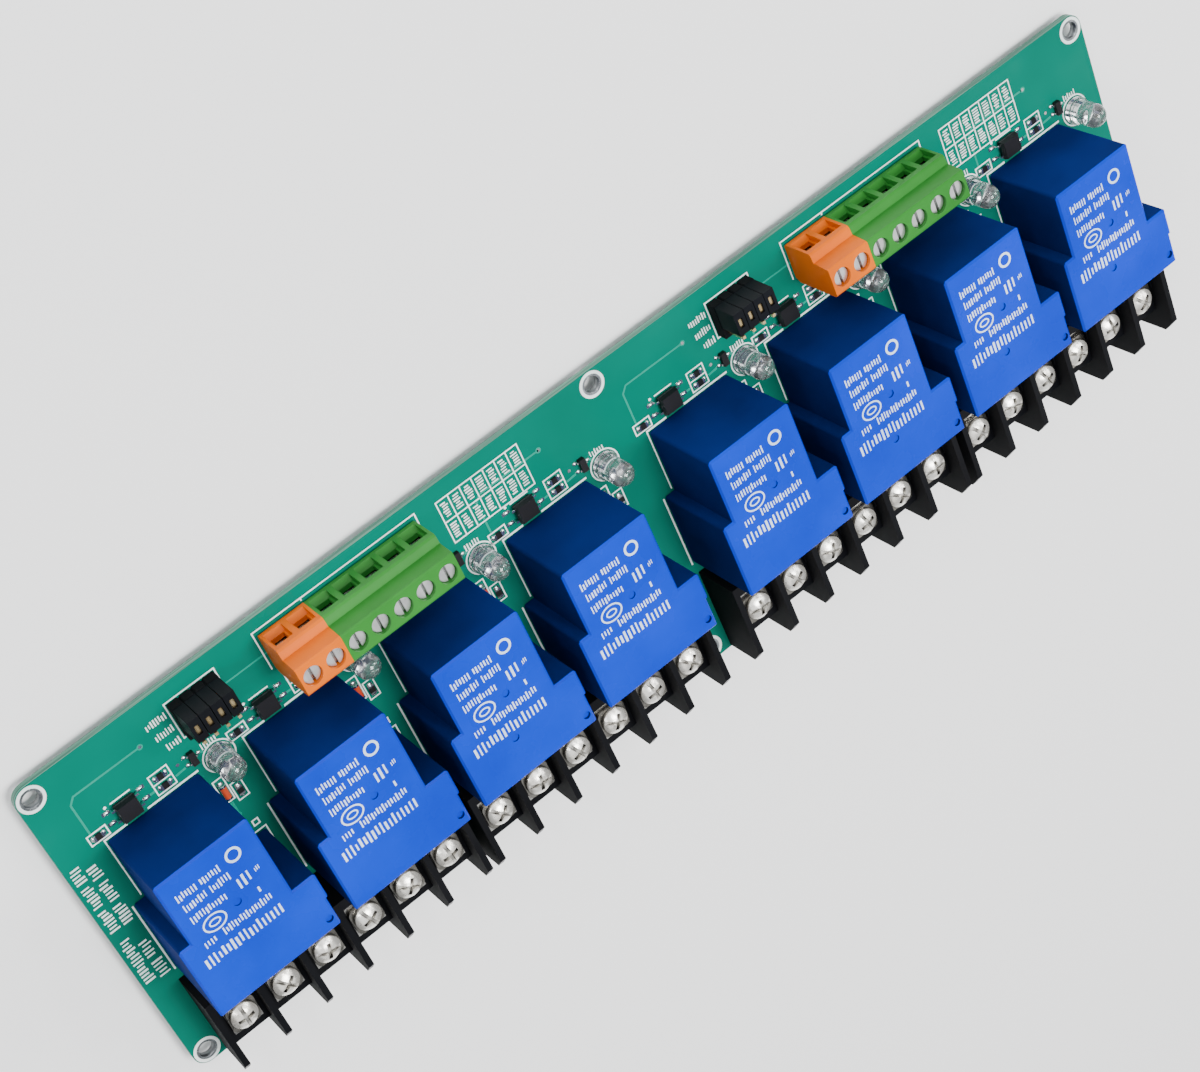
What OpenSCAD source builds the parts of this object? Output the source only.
// Eight-channel relay module board with screw terminals.
// Z = 0 is the underside of the circuit board, and the origin is the centre of the
// four corner mounting holes. X runs along the board, +Y towards the input terminals.

/* [Board] */
// Length of the circuit board
board_l = 260; // [260:1:300]
// Thickness of the circuit board
board_t = 1.6; // [1:0.1:3.2]
// Radius of the board's corners
board_corner_r = 3; // [0.5:0.1:5]
// Diameter of the mounting holes
hole_d = 3.5; // [2:0.1:3.5]
// Distance from a mounting hole's centre to the board's edges
hole_inset = 3; // [2.8:0.1:3]
// Outer diameter of the plated ring round each mounting hole
ring_d = 5.6; // [4.6:0.1:5.6]
// Thickness of the plated rings
ring_t = 0.08; // [0.05:0.01:0.2]
// Length of every soldered tail below the board
tail = 2; // [1:0.1:4]
// Clearance round a lead in its drilled hole
lead_clearance = 0.12; // [0.05:0.01:0.3]

/* [Relays] */
// Distance between neighbouring relays of a group
relay_pitch = 30.45; // [30:0.05:32]
// Distance between the two relays on either side of the board's middle
middle_pitch = 35.8; // [32:0.1:44]
// Width of a relay across its shoulders
relay_w = 27.4; // [25:0.1:29]
// Length of a relay from front to back
relay_l = 32; // [30:0.1:36]
// Height of a relay above the board
relay_h = 19.8; // [15:0.1:26]
// How far the left shoulder stands out from the narrow part
left_shoulder = 2.5; // [1:0.1:4]
// How far the right shoulder stands out from the narrow part
right_shoulder = 4.9; // [3:0.1:6]
// Length of the left shoulder from the relay's front
left_shoulder_l = 17.4; // [14:0.1:20]
// Length of the right shoulder from the relay's front
right_shoulder_l = 12.9; // [10:0.1:15]
// Depth of the step in the right shoulder's side
shoulder_jog = 0.45; // [0.2:0.05:0.8]
// Length of the stepped stretch from the relay's front
shoulder_jog_l = 7.9; // [4:0.1:9]
// Bevel round the relay's top
relay_bevel = 0.4; // [0.2:0.05:0.8]
// Radius of the relay's upright edges
relay_edge_r = 0.6; // [0.3:0.1:1]
// Wall of the relay cover round its base plate
relay_wall = 1; // [0.6:0.1:2]
// Thickness of the relay's base plate
relay_base_t = 2.4; // [1.5:0.1:4]
// Height of the feet that hold a relay off the board
relay_foot = 0.3; // [0.2:0.05:0.8]

/* [Barrier strips] */
// Number of positions in a barrier strip
strip_positions = 6; // [6:1:6]
// Distance between the screws of a strip
strip_pitch = 9.7; // [9.4:0.05:9.7]
// Thickness of the fins between the screws
fin_t = 1.25; // [1:0.05:1.6]
// Depth of a strip from its back wall to its fins' front
strip_depth = 20.2; // [18:0.1:22]
// Height of the fins above the board
fin_h = 11.4; // [10:0.1:15]
// Height of the deck that carries the contacts
deck_h = 6.9; // [6:0.1:8]
// How far the fins stand out in front of the deck
fin_reach = 5.2; // [4.6:0.1:7]
// Size of the bevel at the fins' front
fin_bevel = 3; // [1:0.1:4]
// Height of the shelf's step behind the contacts
shelf_step = 0.75; // [0.4:0.05:0.85]
// Thickness of the back wall
strip_back_t = 2.2; // [1.5:0.1:3]
// Gap between the two strips of a group
strip_gap = 1.9; // [1:0.1:1.9]
// How far the right pair of strips stands off the middle of its relays
strip_shift = 1.2; // [0:0.1:1.2]
// Distance from the board's front edge to the fins' front
strip_inset = 0.35; // [0:0.05:1]
// Gap between the strips' back wall and the relays
strip_relay_gap = 2.8; // [1:0.1:4]
// Wall thickness under the deck
strip_wall = 1.2; // [0.8:0.1:1.5]

/* [Barrier contacts] */
// Distance from the strip's back to the screws
strip_screw_y = 9.6; // [9:0.1:9.8]
// Width of a contact plate
contact_w = 6.4; // [6:0.1:6.8]
// Length of a contact plate
contact_l = 10.5; // [9.5:0.1:11]
// Thickness of a contact plate
contact_t = 0.9; // [0.7:0.05:1.1]
// Depth of a contact plate's seat in the deck
contact_seat = 0.6; // [0.3:0.05:0.7]
// Width of a contact's leg
contact_leg_w = 1.8; // [1:0.1:2.4]
// Side of the square washers
washer_w = 6.2; // [5.4:0.1:6.4]
// Thickness of the square washers
washer_t = 0.7; // [0.5:0.1:1]
// Diameter of the clamping screws
screw_d = 3; // [2.5:0.1:3.5]
// Diameter of the clamping screws' heads
screw_head_d = 5.6; // [5:0.1:6]
// Height of the clamping screws' heads
screw_head_h = 1.8; // [1.6:0.1:2.4]
// Length of the clamping screws below the head
screw_l = 5.6; // [5:0.1:6.5]
// Width of the slots in the clamping screws' heads
screw_slot_w = 0.8; // [0.5:0.05:1]
// Depth of the slots in the clamping screws' heads
screw_slot_t = 0.9; // [0.5:0.1:1.2]
// Clearance round a screw or a contact's leg
screw_clearance = 0.1; // [0.05:0.01:0.2]

/* [Input terminals] */
// Distance between the input terminals
term_pitch = 5.08; // [4.9:0.02:5.3]
// Number of positions in the power terminal
power_positions = 2; // [2:1:2]
// Number of positions in the signal terminal
signal_positions = 5; // [5:1:5]
// Depth of an input terminal from its wire side to its back
term_depth = 8.8; // [8.7:0.1:9.2]
// Height of an input terminal
term_h = 12.8; // [12:0.1:15]
// Height of the ridge above the wire openings
term_ridge_h = 8.2; // [7.8:0.1:9]
// How far the upper part steps back behind the ridge
term_step = 2; // [1:0.1:2.1]
// Distance from the board's back edge to the wire side
term_inset = 3.4; // [1:0.1:4]
// Distance from a group's middle to the left end of its input terminals
term_left = 15.1; // [10:0.1:17]
// Distance from the wire side to the terminal screws
term_screw_y = 5.5; // [5.2:0.1:5.6]
// Width of a wire opening
wire_w = 3.9; // [3.4:0.1:4.1]
// Height of a wire opening
wire_h = 5; // [4:0.1:5.4]
// Diameter of the terminal screws
term_screw_d = 2.4; // [2:0.1:2.5]
// Diameter of the terminal screws' heads
term_head_d = 3.7; // [3:0.1:3.8]
// Wall of a clamp cage
cage_wall = 0.6; // [0.5:0.05:0.8]
// Height of a clamp cage
cage_h = 4.8; // [4.4:0.1:5]
// Height of a clamp cage above the board
cage_lift = 2.1; // [1.8:0.1:2.4]
// Height of the clamp's cavity above the board
cavity_h = 8; // [7.6:0.1:8.4]
// Side walls of an input terminal's housing, on both sides of a cavity together
cavity_walls = 1.1; // [0.9:0.1:1.3]
// Clearance round a clamp cage, on both sides together
cage_clearance = 0.3; // [0.2:0.05:0.4]
// Thickness of the wire side's wall
wire_wall = 2.2; // [2:0.1:2.4]
// Thickness of the wall opposite the wires
term_back_wall = 0.7; // [0.5:0.1:0.9]
// Sill under a wire opening
wire_sill = 1.6; // [1.2:0.1:2]
// Depth of a terminal screw's head below the top
term_head_depth = 2.6; // [2.2:0.1:3]
// Thickness of a terminal's leg
term_leg_t = 0.7; // [0.5:0.1:0.8]
// Width of a terminal's leg
term_leg_w = 1; // [0.8:0.1:1.4]

/* [Jumper headers] */
// Distance between header pins
header_pitch = 2.54; // [2.5:0.01:2.6]
// Number of pin columns in a jumper header
header_columns = 4; // [4:1:4]
// Number of pin rows in a jumper header
header_rows = 3; // [3:1:3]
// Height of a jumper header's plastic
header_h = 2.5; // [2:0.1:3]
// Width of the square pins
header_pin_w = 0.64; // [0.5:0.01:0.7]
// Height of the pins above the board
header_pin_h = 7.4; // [7:0.1:7.6]
// Height of a jumper cap
cap_h = 6; // [5:0.1:7]
// Wall of a jumper cap
cap_wall = 0.6; // [0.4:0.05:0.7]
// Height of the bridging clip in a jumper cap
clip_h = 0.7; // [0.5:0.05:0.8]
// Width of the bridging clip
clip_w = 0.9; // [0.7:0.05:1.1]
// Gap between neighbouring caps
cap_gap = 0.16; // [0.1:0.02:0.3]
// Distance from a group's middle to the middle of its jumper header
header_left = 30.2; // [28:0.1:32]
// Distance from the board's back edge to the jumper header
header_inset = 3.9; // [2:0.1:5]

/* [Optocouplers] */
// Width of an optocoupler between its leads
opto_w = 4.4; // [4:0.1:4.8]
// Length of an optocoupler
opto_l = 4.1; // [3.6:0.1:4.6]
// Height of an optocoupler above the board
opto_h = 2.2; // [1.8:0.1:2.6]
// Distance across an optocoupler's leads
opto_span = 7; // [6.4:0.1:7.4]
// Gap between an optocoupler and its relay
opto_gap = 1.55; // [0.8:0.05:2]
// Distance from a relay's middle to its optocoupler, leftwards
opto_left = 5; // [4:0.05:5.2]
// Gap between the optocouplers and the input terminals
opto_term_gap = 1.8; // [1:0.1:6]
// Thickness of an optocoupler's leads
opto_lead_t = 0.2; // [0.15:0.01:0.25]
// Width of an optocoupler's leads
opto_lead_w = 0.4; // [0.3:0.05:0.5]
// Length of an optocoupler lead's foot
opto_foot = 0.6; // [0.4:0.05:0.7]

/* [Indicator lamps] */
// Diameter of a lamp's lens
led_d = 5; // [4.6:0.1:5.2]
// Diameter of the rim at the lens's foot
led_rim_d = 5.8; // [5.4:0.1:6]
// Height of the rim at the lens's foot
led_rim_h = 1; // [0.8:0.1:1.4]
// Height of a lamp above the board
led_h = 8.2; // [7:0.1:10]
// Distance from a relay's middle to its lamp, rightwards
led_right = 13.65; // [13:0.05:13.8]
// Thickness of a lamp's leads
led_lead_w = 0.5; // [0.4:0.05:0.6]
// Distance between a lamp's leads
led_lead_pitch = 2.54; // [2.3:0.02:2.8]
// Depth of the cup and post below a lamp's top
led_cup_depth = 4.8; // [4.2:0.1:5.2]
// Diameter of the cup
led_cup_d = 1.8; // [1.4:0.1:2]
// Height of a lamp's rim above the board
led_stand = 0.3; // [0.1:0.05:0.6]

/* [Small parts] */
// Length of a chip resistor
chip_l = 2; // [1.6:0.1:2.4]
// Width of a chip resistor
chip_w = 1.25; // [0.8:0.05:1.4]
// Height of a chip resistor
chip_h = 0.55; // [0.4:0.05:0.8]
// Length of a chip's end cap
chip_cap = 0.4; // [0.3:0.05:0.5]
// Length of a transistor's body
sot_l = 2.9; // [2.6:0.1:3.1]
// Width of a transistor's body
sot_w = 1.3; // [1.1:0.1:1.5]
// Height of a transistor
sot_h = 1.1; // [0.9:0.1:1.3]
// Length of a glass diode
diode_l = 3.4; // [3:0.1:3.6]
// Diameter of a glass diode
diode_d = 1.4; // [1.2:0.1:1.6]

/* [Hidden] */
$fn = 32;
RELAYS = 8;
PER_GROUP = 4;
STRIPS = 4;
eps = 0.01;
top = board_t;                                   // the board's upper face

// The board's width is what its rows and the gaps between them add up to
board_w = strip_inset + strip_depth + strip_relay_gap + relay_l + opto_gap + opto_l
    + opto_term_gap + term_depth + term_inset;

// Places along X
hole_x = board_l / 2 - hole_inset;
hole_y = board_w / 2 - hole_inset;
group_span = (PER_GROUP - 1) * relay_pitch;
group_mid = middle_pitch / 2 + group_span / 2;   // distance of a group's middle from X = 0
function side(i, per) = i < per ? -1 : 1;
function relay_x(i) = side(i, PER_GROUP) * group_mid
    + (i % PER_GROUP - (PER_GROUP - 1) / 2) * relay_pitch;
function group_x(g) = side(g, 1) * group_mid;

// Places along Y, from the front edge backwards
strip_front_y = -board_w / 2 + strip_inset;
strip_back_y = strip_front_y + strip_depth;
relay_front_y = strip_back_y + strip_relay_gap;
relay_back_y = relay_front_y + relay_l;
term_back_y = board_w / 2 - term_inset;
opto_y = relay_back_y + opto_gap + opto_l / 2;

// Relay outline
narrow_left = relay_w / 2 - left_shoulder;
narrow_right = relay_w / 2 - right_shoulder;
relay_body_h = relay_h - relay_foot;
// Relay pins: across, back from the front face, width, thickness
coil_pin = [1, 0.8];
load_pin = [2, 0.9];
pin_inset = 4.2;                                 // from the relay's faces to its pins
RELAY_PINS = [
    [-narrow_left + pin_inset, relay_l - pin_inset, coil_pin],
    [narrow_right - pin_inset, relay_l - pin_inset, coil_pin],
    [-relay_w / 2 + pin_inset, pin_inset, load_pin],
    [relay_w / 2 - pin_inset, pin_inset, load_pin],
    [(narrow_right - narrow_left) / 2, relay_l / 2, load_pin]
];

// Barrier strips
strip_w = strip_positions * strip_pitch + fin_t;
bay_w = strip_pitch - fin_t;
function strip_x(s) = side(s, 2) * group_mid + (s < 2 ? 0 : strip_shift)
    + (s % 2 - 0.5) * (strip_w + strip_gap);     // middle of strip s
function bay_x(p) = (p - (strip_positions - 1) / 2) * strip_pitch;
screw_y = strip_back_y - strip_screw_y;
leg_y = strip_back_y - strip_back_t - 0.5 - contact_t / 2;
seat_h = deck_h - contact_seat;                  // floor of the contacts' seats
pocket_h = seat_h - 1.6;                         // hollow under the deck
plate_top = top + seat_h + contact_t;
contact_front = leg_y + contact_t / 2 - contact_l;
// Turn of each screw head, as an assembler leaves them
function screw_turn(i) = 37 * i % 90;
function washer_turn(i) = (29 * i % 9) - 4;

// Input terminals
TERM_ROW = power_positions + signal_positions;
function term_x(g) = group_x(g) - term_left;     // left end of the row
term_screw_back = term_back_y - term_screw_y;
cavity_back = term_back_y - wire_wall;
cavity_front = term_back_y - term_depth + term_back_wall;
cavity_w = term_pitch - cavity_walls;
cage_w = cavity_w - cage_clearance;
cage_z = top + cage_lift;
term_head_z = term_h - term_head_depth;          // underside of the screw head
term_leg_y = cavity_front + 0.05 + term_leg_t / 2;
cage_front = term_leg_y + term_leg_t / 2 + 0.15;
cage_l = cavity_back - 0.15 - cage_front;

// Jumper headers
header_w = header_columns * header_pitch;
header_l = header_rows * header_pitch;
header_back_y = board_w / 2 - header_inset;
function header_x(g) = group_x(g) - header_left;
function column_x(c) = (c - (header_columns - 1) / 2) * header_pitch;
function row_y(r) = header_back_y - (r + 0.5) * header_pitch;
// Lamps
led_y = relay_back_y + 0.1;

// Chip places by channel: across from the relay's middle, back from its back face
CHIPS_ALONG = [[-11.9, 2], [2.75, 4.4], [2.75, 2.2]];
CHIPS_ACROSS = [[13.5, -8.6]];
SOT_PLACE = [9.3, 3.5];
DIODE_PLACE = [10.9, -6.7];

BOARD_GREEN = [0.02, 0.48, 0.38];
RELAY_BLUE = [0.12, 0.36, 0.85];
BASE_BLUE = [0.06, 0.2, 0.5];
STRIP_BLACK = [0.09, 0.09, 0.1];
TIN = [0.78, 0.78, 0.77];
NICKEL = [0.82, 0.81, 0.78];
GOLD = [0.83, 0.68, 0.35];
POWER_ORANGE = [0.93, 0.45, 0.1];
SIGNAL_GREEN = [0.3, 0.62, 0.25];

// ---- shared forms ----------------------------------------------------------

// A rectangle with round corners, centred
module round_rect(w, l, r) {
    square([w - 2 * r, l], center = true);
    square([w, l - 2 * r], center = true);
    for (x = [-1, 1], y = [-1, 1])
        translate([x * (w / 2 - r), y * (l / 2 - r)])
            circle(r);
}

// Stands a YZ outline up and extrudes it along X, centred on X = 0
module along_x(w) {
    rotate([90, 0, 90])
        linear_extrude(w, center = true)
            children();
}

// A box that is centred on X and Y and stands on Z = 0
module post(w, l, h) {
    translate([-w / 2, -l / 2, 0])
        cube([w, l, h]);
}

// A hole through the board for a lead of w by t
function lead_hole(w, t) = sqrt(w * w + t * t) / 2 + lead_clearance;

// ---- circuit board ---------------------------------------------------------

module mounting_points() {
    for (x = [-1, 0, 1], y = [-1, 1])
        translate([x * hole_x, y * hole_y])
            children();
}

module relay_pin_points() {
    for (i = [0:RELAYS - 1], p = RELAY_PINS)
        translate([relay_x(i) + p[0], relay_front_y + p[1]])
            circle(lead_hole(p[2][0], p[2][1]));
}

module strip_leg_points() {
    for (s = [0:STRIPS - 1], p = [0:strip_positions - 1])
        translate([strip_x(s) + bay_x(p), leg_y])
            circle(lead_hole(contact_leg_w, contact_t));
}

module term_leg_points() {
    for (g = [0, 1], p = [0:TERM_ROW - 1])
        translate([term_x(g) + (p + 0.5) * term_pitch, term_leg_y])
            circle(lead_hole(term_leg_w, term_leg_t));
}

module header_pin_points() {
    for (g = [0, 1], c = [0:header_columns - 1], r = [0:header_rows - 1])
        translate([header_x(g) + column_x(c), row_y(r)])
            circle(lead_hole(header_pin_w, header_pin_w));
}

module led_lead_points() {
    for (i = [0:RELAYS - 1], s = [-1, 1])
        translate([relay_x(i) + led_right + s * led_lead_pitch / 2, led_y])
            circle(lead_hole(led_lead_w, led_lead_w));
}

module circuit_board() {
    color(BOARD_GREEN)
        linear_extrude(board_t)
            difference() {
                round_rect(board_l, board_w, board_corner_r);
                mounting_points()
                    circle(hole_d / 2);
                relay_pin_points();
                strip_leg_points();
                term_leg_points();
                header_pin_points();
                led_lead_points();
            }
}

module ring_outlines() {
    mounting_points()
        difference() {
            circle(ring_d / 2);
            circle(hole_d / 2);
        }
}

// The area under the barrier strips, where a ring on the board's top ends
module strip_footprints(margin) {
    for (s = [0:STRIPS - 1])
        translate([strip_x(s), (strip_front_y + strip_back_y) / 2])
            square([strip_w + 2 * margin, strip_depth + 2 * margin], center = true);
}

module hole_rings() {
    color(NICKEL) {
        translate([0, 0, -ring_t])
            linear_extrude(ring_t)
                ring_outlines();
        translate([0, 0, board_t])
            linear_extrude(ring_t)
                difference() {
                    ring_outlines();
                    strip_footprints(0.1);
                }
    }
}

// ---- relays ----------------------------------------------------------------

// One block of a relay's outline, from x0 to x1 and y0 to y1, with a bevelled top
module relay_block(x0, x1, y0, y1, h) {
    w = x1 - x0;
    l = y1 - y0;
    translate([(x0 + x1) / 2, (y0 + y1) / 2, 0])
        intersection() {
            linear_extrude(h)
                round_rect(w, l, relay_edge_r);
            along_x(w)
                bevelled_side(l, h);
            rotate([0, 0, 90])
                along_x(l)
                    bevelled_side(w, h);
        }
}

module bevelled_side(w, h) {
    b = relay_bevel;
    polygon([[-w / 2, 0], [w / 2, 0], [w / 2, h - b], [w / 2 - b, h],
        [-w / 2 + b, h], [-w / 2, h - b]]);
}

// The relay's T-shaped body, its front face on Y = 0
module relay_body(h) {
    relay_block(-narrow_left, narrow_right, 0, relay_l, h);
    relay_block(-relay_w / 2, narrow_right, 0, left_shoulder_l, h);
    relay_block(-narrow_left, relay_w / 2, shoulder_jog_l - 2 * relay_edge_r,
        right_shoulder_l, h);
    relay_block(-narrow_left, relay_w / 2 - shoulder_jog, 0, right_shoulder_l - 1, h);
}

// The base plate's outline inside the cover's wall
module base_outline(wall) {
    difference() {
        translate([-relay_w / 2 + wall, wall])
            square([relay_w - 2 * wall - shoulder_jog, relay_l - 2 * wall]);
        translate([-relay_w / 2 - eps, left_shoulder_l - wall])
            square([left_shoulder + wall + eps, relay_l]);
        translate([narrow_right - wall, right_shoulder_l - wall])
            square([right_shoulder + wall, relay_l]);
    }
}

// Round dimples in the top, as across, back, radius and depth
VENT = [relay_w / 2 - 1.9, 2.6, 0.8, 0.6];
GATE_MARK = [-0.25, 18.7, 0.8, 0.3];
// Covers from the second mould have another mark nearer the front
SECOND_MARK = [-2.5, 9, 0.8, 0.3];
SECOND_MOULD = [2, 5, 6, 7];
function dimples(i) = len(search(i, SECOND_MOULD)) > 0
    ? [VENT, GATE_MARK, SECOND_MARK]
    : [VENT, GATE_MARK];

module relay_cover(i) {
    color(RELAY_BLUE)
        translate([relay_x(i), relay_front_y, top + relay_foot])
            difference() {
                relay_body(relay_body_h);
                translate([0, 0, -eps])
                    linear_extrude(relay_base_t + eps)
                        base_outline(relay_wall);
                for (d = dimples(i))
                    translate([d[0], d[1], relay_body_h - d[3]])
                        cylinder(r = d[2], h = d[3] + eps);
            }
}

module relay_base(i) {
    color(BASE_BLUE)
        translate([relay_x(i), relay_front_y, top + relay_foot])
            difference() {
                union() {
                    linear_extrude(relay_base_t)
                        base_outline(relay_wall);
                    for (x = [-narrow_left + 2, narrow_right - 2], y = [2, relay_l - 2])
                        translate([x, y, -relay_foot])
                            cylinder(r = 0.7, h = relay_foot + eps);
                }
                for (p = RELAY_PINS)
                    translate([p[0], p[1], -eps])
                        post(p[2][0], p[2][1], relay_base_t + 2 * eps);
            }
}

module relay_pins() {
    color(TIN)
        for (i = [0:RELAYS - 1], p = RELAY_PINS)
            translate([relay_x(i) + p[0], relay_front_y + p[1], -tail])
                post(p[2][0], p[2][1], tail + top + relay_foot + relay_base_t);
}

// ---- barrier strips --------------------------------------------------------

// Side view of a fin: back wall at Y = 0, front towards -Y
module fin_side() {
    polygon([[0, 0], [0, fin_h], [fin_bevel - strip_depth, fin_h],
        [-strip_depth, fin_h - fin_bevel], [-strip_depth, 0]]);
}

// Side view of the deck between two fins, with its back wall and shelf
module deck_side() {
    shelf_front = 0.5 - strip_screw_y;
    deck_front = fin_reach - strip_depth;
    polygon([[0, 0], [0, fin_h], [-strip_back_t, fin_h],
        [-strip_back_t, deck_h + shelf_step], [shelf_front, deck_h + shelf_step],
        [shelf_front, deck_h], [deck_front, deck_h], [deck_front, 0]]);
}

module barrier_strip(s) {
    color(STRIP_BLACK)
        translate([strip_x(s), 0, top])
            difference() {
                translate([0, strip_back_y, 0]) {
                    along_x(strip_w)
                        deck_side();
                    for (p = [0:strip_positions])
                        translate([bay_x(p - 0.5), 0, 0])
                            along_x(fin_t)
                                fin_side();
                }
                for (p = [0:strip_positions - 1])
                    translate([bay_x(p), 0, 0])
                        bay_cuts();
            }
}

// What is cut from the deck at one position
module bay_cuts() {
    seat_w = contact_w + 2 * screw_clearance;
    seat_front = contact_front - screw_clearance;
    seat_back = leg_y + contact_t / 2 + screw_clearance;
    pocket_w = washer_w + 1.6;
    pocket_r = 2.2;
    hollow_w = strip_pitch - 2 * strip_wall;
    hollow_back = strip_back_y - strip_wall;
    hollow_front = strip_front_y + fin_reach + strip_wall;
    // the contact's seat and the round-cornered recess about the washer
    translate([-seat_w / 2, seat_front, seat_h])
        cube([seat_w, seat_back - seat_front, contact_seat + shelf_step + 1]);
    translate([0, screw_y, deck_h])
        linear_extrude(shelf_step + 1)
            round_rect(pocket_w, pocket_w, pocket_r);
    // the screw's hole and the leg's slot
    translate([0, screw_y, 0])
        cylinder(r = screw_d / 2 + screw_clearance, h = deck_h + eps);
    translate([0, leg_y, 0])
        post(contact_leg_w + 2 * screw_clearance, contact_t + 2 * screw_clearance, deck_h + eps);
    // the hollow underneath
    translate([-hollow_w / 2, hollow_front, -eps])
        cube([hollow_w, hollow_back - hollow_front, pocket_h + eps]);
}

module barrier_contacts(s) {
    color(NICKEL)
        for (p = [0:strip_positions - 1])
            translate([strip_x(s) + bay_x(p), 0, 0])
                difference() {
                    union() {
                        translate([-contact_w / 2, contact_front, top + seat_h])
                            cube([contact_w, contact_l, contact_t]);
                        translate([0, leg_y, -tail])
                            post(contact_leg_w, contact_t, tail + top + seat_h + eps);
                    }
                    translate([0, screw_y, top + seat_h - eps])
                        cylinder(r = screw_d / 2 + screw_clearance, h = contact_t + 2 * eps);
                }
}

// Calls its children at every barrier screw, with the screw's number in $n
module at_screws() {
    for (s = [0:STRIPS - 1], p = [0:strip_positions - 1])
        translate([strip_x(s) + bay_x(p), screw_y, plate_top]) {
            $n = s * strip_positions + p;
            children();
        }
}

module barrier_washers() {
    color(TIN)
        at_screws()
            rotate([0, 0, washer_turn($n)])
                linear_extrude(washer_t)
                    difference() {
                        round_rect(washer_w, washer_w, 1.2);
                        circle(screw_d / 2 + screw_clearance);
                    }
}

// Half outline of a domed head with its shank
module pan_screw_outline() {
    r = screw_head_d / 2;
    h = screw_head_h;
    rise = h * 0.62;                             // of the dome above the head's rim
    dome_r = (r * r + rise * rise) / (2 * rise);
    polygon([[0, -screw_l], [screw_d / 2 - 0.4, -screw_l], [screw_d / 2, 0.4 - screw_l],
        [screw_d / 2, eps], [0, eps]]);
    intersection() {
        square([r, h]);
        translate([0, h - dome_r])
            circle(dome_r, $fn = 96);
    }
}

module barrier_screws() {
    color(TIN)
        at_screws()
            translate([0, 0, washer_t])
                rotate([0, 0, screw_turn($n)])
                    difference() {
                        rotate_extrude()
                            pan_screw_outline();
                        // a full slot, and a short one across it
                        translate([0, 0, screw_head_h - screw_slot_t])
                            post(screw_slot_w, screw_head_d + 1, screw_slot_t + eps);
                        translate([0, 0, screw_head_h - screw_slot_t])
                            post(screw_head_d * 0.62, screw_slot_w, screw_slot_t + eps);
                    }
}

// ---- input terminals -------------------------------------------------------

// Side view of a terminal housing: wire side at Y = 0, back towards -Y
module terminal_side() {
    d = term_depth;
    chamfer = 0.5;
    polygon([[-0.5, 0], [0, 0.5], [0, term_ridge_h - 0.4], [-0.4, term_ridge_h],
        [-term_step, term_ridge_h + 0.3], [-term_step - 0.3, term_h - 0.3],
        [-term_step - 0.6, term_h], [chamfer - d, term_h], [-d, term_h - chamfer],
        [-d, 1.2], [0.8 - d, 0]]);
}

module terminal_housing(g, first, count) {
    translate([term_x(g), 0, top])
        difference() {
            translate([(first + count / 2) * term_pitch, term_back_y, 0])
                along_x(count * term_pitch)
                    terminal_side();
            for (p = [first:first + count - 1])
                translate([(p + 0.5) * term_pitch, 0, 0])
                    terminal_cuts();
        }
}

module terminal_cuts() {
    // the cavity for the clamp, open below
    translate([-cavity_w / 2, cavity_front, -eps])
        cube([cavity_w, cavity_back - cavity_front, cavity_h + eps]);
    // the screw's well, wide for its head and narrow below
    translate([0, term_screw_back, term_head_z - 0.2])
        cylinder(r = term_head_d / 2 + screw_clearance, h = term_h);
    translate([0, term_screw_back, cavity_h - eps])
        cylinder(r = term_screw_d / 2 + screw_clearance, h = term_h - cavity_h);
    // the wire opening: a funnel, then a square throat
    translate([0, term_back_y, 0])
        along_x(wire_w)
            polygon([[1, wire_sill - 1], [-1.2, wire_sill + 0.9], [-1.2, wire_sill + wire_h - 0.3],
                [1, wire_sill + wire_h + 0.2]]);
    translate([-1.4, cavity_back - eps, wire_sill + 0.9])
        cube([2.8, term_back_y - cavity_back, wire_h - 1.5]);
}

module power_terminal(g) {
    color(POWER_ORANGE)
        terminal_housing(g, 0, power_positions);
}

module signal_terminal(g) {
    color(SIGNAL_GREEN)
        terminal_housing(g, power_positions, signal_positions);
}

// Calls its children at the middle of every input position, on the board's top
module at_terminals() {
    for (g = [0, 1], p = [0:TERM_ROW - 1])
        translate([term_x(g) + (p + 0.5) * term_pitch, 0, 0])
            children();
}

module clamp_cages() {
    color(NICKEL)
        at_terminals()
            translate([0, cage_front + cage_l / 2, cage_z])
                difference() {
                    post(cage_w, cage_l, cage_h);
                    translate([0, 0, cage_wall])
                        post(cage_w - 2 * cage_wall, cage_l + 1, cage_h - 2 * cage_wall - 0.6);
                    translate([0, term_screw_back - cage_front - cage_l / 2, cage_h / 2])
                        cylinder(r = term_screw_d / 2 + screw_clearance, h = cage_h);
                }
}

module terminal_screws() {
    slot_w = 0.6;
    tip = cage_z - top + cage_h - cage_wall - 1;
    color(TIN)
        at_terminals()
            translate([0, term_screw_back, top])
                difference() {
                    union() {
                        translate([0, 0, tip])
                            cylinder(r = term_screw_d / 2, h = term_head_z - tip + eps);
                        translate([0, 0, term_head_z])
                            cylinder(r = term_head_d / 2, h = 1.8);
                    }
                    translate([0, 0, term_head_z + 1])
                        post(slot_w, term_head_d + 1, 1);
                }
}

module terminal_pins() {
    strip_z = cage_z + cage_h - cage_wall - 1.9;
    strip_back = term_screw_back + 1.6;
    strip_front = term_leg_y - term_leg_t / 2;
    color(TIN)
        at_terminals() {
            translate([-1.1, strip_front, strip_z])
                cube([2.2, strip_back - strip_front, 0.7]);
            translate([0, term_leg_y, -tail])
                post(term_leg_w, term_leg_t, tail + strip_z + eps);
        }
}

// ---- jumper headers --------------------------------------------------------

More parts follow.
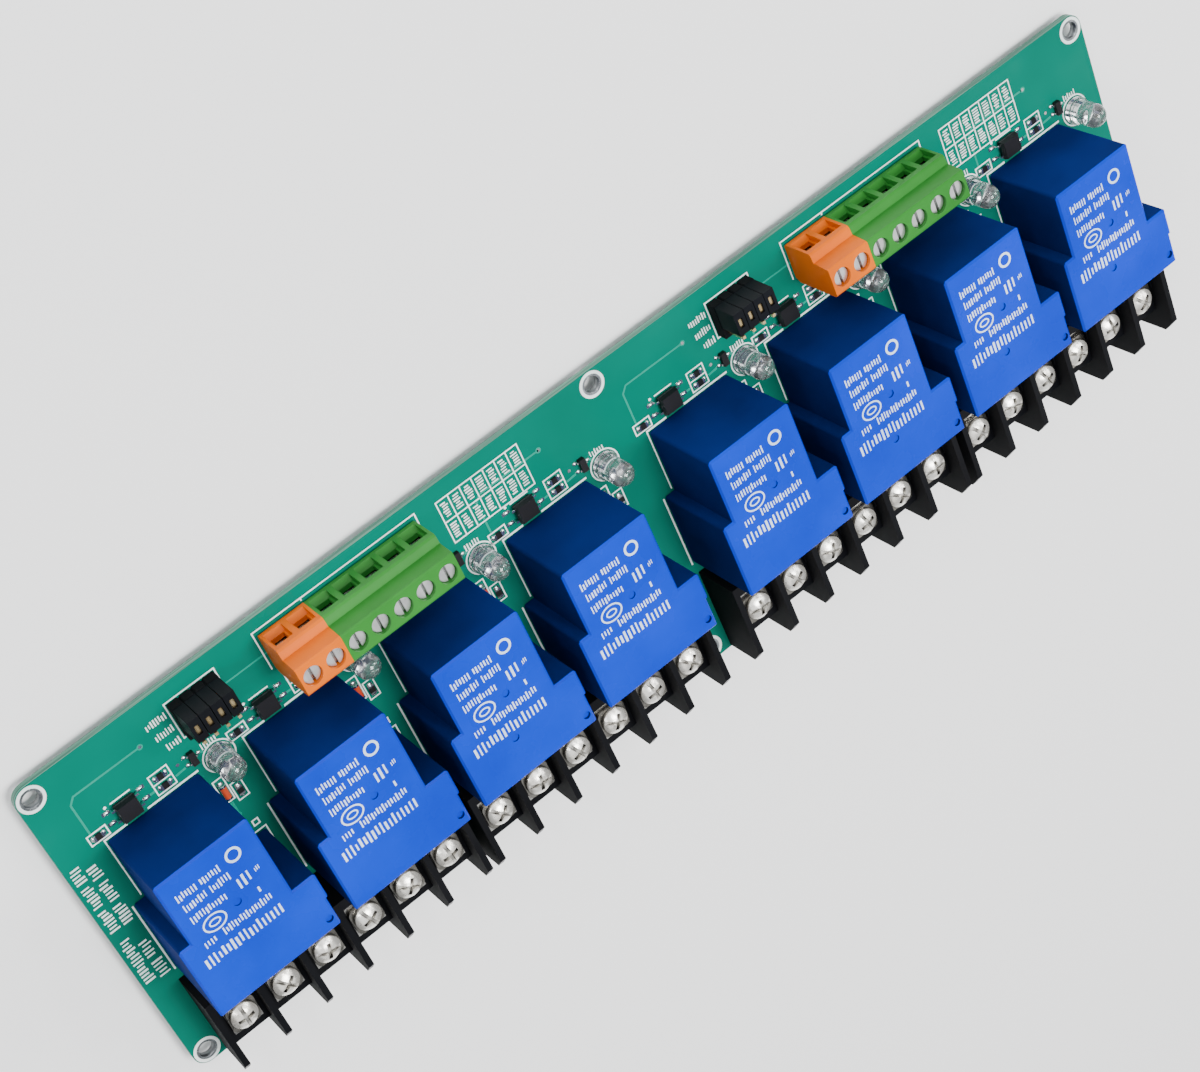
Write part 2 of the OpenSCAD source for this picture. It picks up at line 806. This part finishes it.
module jumper_header(g) {
    notch = 0.5;
    color(STRIP_BLACK)
        translate([header_x(g), 0, top])
            difference() {
                translate([0, header_back_y - header_l / 2, 0])
                    post(header_w, header_l, header_h);
                for (c = [0:header_columns - 1], r = [0:header_rows - 1])
                    translate([column_x(c), row_y(r), -eps])
                        post(header_pin_w, header_pin_w, header_h + 2 * eps);
                // V notches between the pin cells, at both ends of each row line
                for (c = [1:header_columns - 1], y = [0, 1])
                    translate([column_x(c - 0.5), header_back_y - y * header_l, -eps])
                        rotate([0, 0, 45])
                            post(notch, notch, header_h + 2 * eps);
            }
}

// Calls its children at the middle of every cap, on the header's plastic
module at_caps() {
    for (g = [0, 1], c = [0:header_columns - 1])
        translate([header_x(g) + column_x(c), (row_y(0) + row_y(1)) / 2, top + header_h])
            children();
}

// The clip that joins two pins, a plate that lies on their tips
module jumper_clips() {
    color(GOLD)
        at_caps()
            translate([0, 0, header_pin_h - header_h])
                post(clip_w, header_pitch + header_pin_w, clip_h);
}

module header_pins() {
    color(GOLD)
        for (g = [0, 1], c = [0:header_columns - 1], r = [0:header_rows - 1])
            translate([header_x(g) + column_x(c), row_y(r), -tail])
                post(header_pin_w, header_pin_w, tail + top + header_pin_h);
}

module jumper_caps() {
    w = header_pitch - cap_gap;
    l = 2 * header_pitch - cap_gap;
    room = 0.1;                                  // round the pins and the clip
    pin_room = header_pin_w + room;
    clip_z = header_pin_h - header_h;
    color(STRIP_BLACK)
        at_caps()
            difference() {
                post(w, l, cap_h);
                for (y = [-0.5, 0.5])
                    translate([0, y * header_pitch, -eps])
                        post(pin_room, pin_room, clip_z + 2 * eps);
                translate([0, 0, clip_z])
                    post(clip_w + room, header_pitch + pin_room, clip_h);
                // the slot in the cap's top, over the clip
                translate([0, 0, clip_z])
                    post(clip_w + room, header_pitch + pin_room - 2 * cap_wall, cap_h);
            }
}

// ---- optocouplers, lamps and small parts -----------------------------------

module at_optos() {
    for (i = [0:RELAYS - 1])
        translate([relay_x(i) - opto_left, opto_y, top])
            children();
}

module optocouplers() {
    stand = 0.1;
    waist = opto_h / 2;
    lip = 0.25;
    color(STRIP_BLACK)
        at_optos()
            intersection() {
                rotate([0, 0, 90])
                    along_x(opto_l)
                        polygon([[lip - opto_w / 2, stand], [opto_w / 2 - lip, stand],
                            [opto_w / 2, waist], [opto_w / 2 - lip, opto_h],
                            [lip - opto_w / 2, opto_h], [-opto_w / 2, waist]]);
                along_x(opto_w + 1)
                    polygon([[lip - opto_l / 2, stand], [opto_l / 2 - lip, stand],
                        [opto_l / 2, waist], [opto_l / 2 - lip, opto_h],
                        [lip - opto_l / 2, opto_h], [-opto_l / 2, waist]]);
            }
}

// Side view of a bent lead from x0 out to x1, leaving its body at height z
module gull_lead(x0, x1, z, t, foot) {
    polygon([[x0, z], [x1 - foot - t, z], [x1 - foot - t, 0], [x1, 0], [x1, t],
        [x1 - foot, t], [x1 - foot, z + t], [x0, z + t]]);
}

module optocoupler_leads() {
    color(TIN)
        at_optos()
            for (side = [0, 180], y = [-0.5, 0.5])
                rotate([0, 0, side])
                    translate([0, y * header_pitch, 0])
                        rotate([90, 0, 0])
                            linear_extrude(opto_lead_w, center = true)
                                gull_lead(opto_w / 2, opto_span / 2,
                                    (opto_h - opto_lead_t) / 2, opto_lead_t, opto_foot);
}

module at_leds() {
    for (i = [0:RELAYS - 1])
        translate([relay_x(i) + led_right, led_y, top])
            children();
}

// The two leads of a lamp, with the cup and the post inside the lens
module led_frame() {
    cup_z = led_h - led_cup_depth;
    post_w = led_cup_d / 2;
    for (s = [-1, 1])
        translate([s * led_lead_pitch / 2, 0, -top - tail])
            post(led_lead_w, led_lead_w, top + tail + cup_z + eps);
    translate([(led_cup_d - led_lead_pitch) / 2 - led_lead_w, 0, cup_z])
        cylinder(d = led_cup_d, h = led_cup_d / 2);
    translate([led_lead_pitch / 2, 0, cup_z])
        post(post_w, led_lead_w, led_cup_d / 3);
}

module led_lenses() {
    r = led_d / 2;
    color([0.86, 0.9, 0.9, 0.6])
        at_leds()
            difference() {
                translate([0, 0, led_stand])
                    rotate_extrude($fn = 48) {
                        square([led_rim_d / 2, led_rim_h]);
                        square([r, led_h - led_stand - r]);
                        translate([0, led_h - led_stand - r])
                            intersection() {
                                circle(r);
                                square([r, r]);
                            }
                    }
                led_frame();
                // the flat on the rim beside the short lead
                translate([r + 0.05, -led_rim_d / 2, 0])
                    cube([led_rim_d, led_rim_d, led_stand + led_rim_h]);
            }
}

module led_leads() {
    color(TIN)
        at_leds()
            led_frame();
}

module at_sots() {
    for (i = [0:RELAYS - 1])
        translate([relay_x(i) + SOT_PLACE[0], relay_back_y + SOT_PLACE[1], top])
            children();
}

module transistors() {
    color(STRIP_BLACK)
        at_sots()
            translate([0, 0, 0.1])
                post(sot_w, sot_l, sot_h - 0.1);
}

module transistor_leads() {
    color(TIN)
        at_sots()
            for (lead = [[180, -0.95], [180, 0.95], [0, 0]])
                rotate([0, 0, lead[0]])
                    translate([0, lead[1], 0])
                        rotate([90, 0, 0])
                            linear_extrude(0.4, center = true)
                                gull_lead(sot_w / 2, sot_w / 2 + 0.75, sot_h / 2, 0.15, 0.4);
}

// Calls its children at every chip resistor, its length along X
module at_chips() {
    for (i = [0:RELAYS - 1]) {
        for (c = CHIPS_ALONG)
            translate([relay_x(i) + c[0], relay_back_y + c[1], top])
                children();
        for (c = CHIPS_ACROSS)
            translate([relay_x(i) + c[0], relay_back_y + c[1], top])
                rotate([0, 0, 90])
                    children();
    }
}

module chip_resistors() {
    color(STRIP_BLACK)
        at_chips()
            post(chip_l - 2 * chip_cap, chip_w, chip_h);
}

module chip_ends() {
    color(TIN)
        at_chips()
            for (s = [-1, 1])
                translate([s * (chip_l - chip_cap) / 2, 0, 0])
                    post(chip_cap, chip_w, chip_h);
}

module at_diodes() {
    for (i = [0:RELAYS - 1])
        translate([relay_x(i) + DIODE_PLACE[0], relay_back_y + DIODE_PLACE[1],
            top + diode_d / 2])
            rotate([90, 0, 0])
                children();
}

module glass_diodes() {
    color([0.75, 0.25, 0.15])
        at_diodes()
            cylinder(d = diode_d - 0.1, h = diode_l - 0.8, center = true);
}

module diode_ends() {
    color(TIN)
        at_diodes()
            for (s = [-1, 1])
                translate([0, 0, s * (diode_l / 2 - 0.2)])
                    cylinder(d = diode_d, h = 0.4, center = true);
}

// ---- the assembly ----------------------------------------------------------

circuit_board();
hole_rings();
for (i = [1:RELAYS]) {
    relay_cover(i - 1);
    relay_base(i - 1);
}
relay_pins();
for (i = [1:STRIPS]) {
    barrier_strip(i - 1);
    barrier_contacts(i - 1);
}
barrier_washers();
barrier_screws();
for (i = [1:2]) {
    power_terminal(i - 1);
    signal_terminal(i - 1);
    jumper_header(i - 1);
}
clamp_cages();
terminal_screws();
terminal_pins();
header_pins();
jumper_clips();
jumper_caps();
optocouplers();
optocoupler_leads();
led_lenses();
led_leads();
transistors();
transistor_leads();
chip_resistors();
chip_ends();
glass_diodes();
diode_ends();
